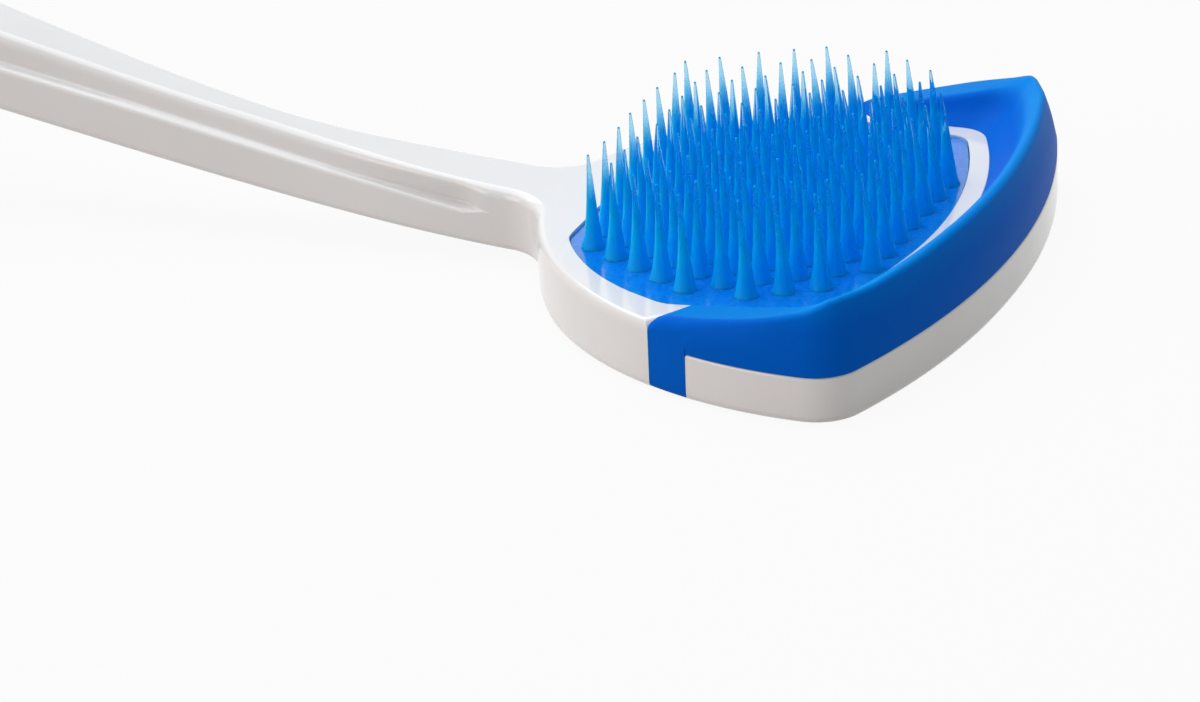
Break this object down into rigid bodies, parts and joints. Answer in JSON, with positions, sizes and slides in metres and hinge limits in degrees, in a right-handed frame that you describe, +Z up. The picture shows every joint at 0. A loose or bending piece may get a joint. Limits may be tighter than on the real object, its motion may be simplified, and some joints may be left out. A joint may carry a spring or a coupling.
{
  "type": "tongue scraper",
  "caption": "Hand-held tongue cleaner: arched plastic handle with a fan-shaped head that carries a pad of soft pointed bristles inside a raised elastomer scraper lip.",
  "frame": {"origin": "midway along the length and across the width, on the plane that the head's back and the handle's end lie on", "axes": "+X along the handle towards the front of the head, +Y across the head, +Z up out of the bristles"},
  "size_m": [0.185, 0.0382, 0.0179],
  "materials": {
    "white_plastic": "glossy moulded white",
    "bristle_elastomer": "translucent blue elastomer",
    "scraper_elastomer": "satin blue elastomer"
  },
  "bodies": {
    "root": {"handle": "white_plastic", "bristle_pad": "bristle_elastomer", "scraper": "scraper_elastomer", "bristle_row_01": "bristle_elastomer", "bristle_row_02": "bristle_elastomer", "bristle_row_03": "bristle_elastomer", "bristle_row_04": "bristle_elastomer", "bristle_row_05": "bristle_elastomer", "bristle_row_06": "bristle_elastomer", "bristle_row_07": "bristle_elastomer", "bristle_row_08": "bristle_elastomer", "bristle_row_09": "bristle_elastomer", "bristle_row_10": "bristle_elastomer"}
  },
  "joints": []
}
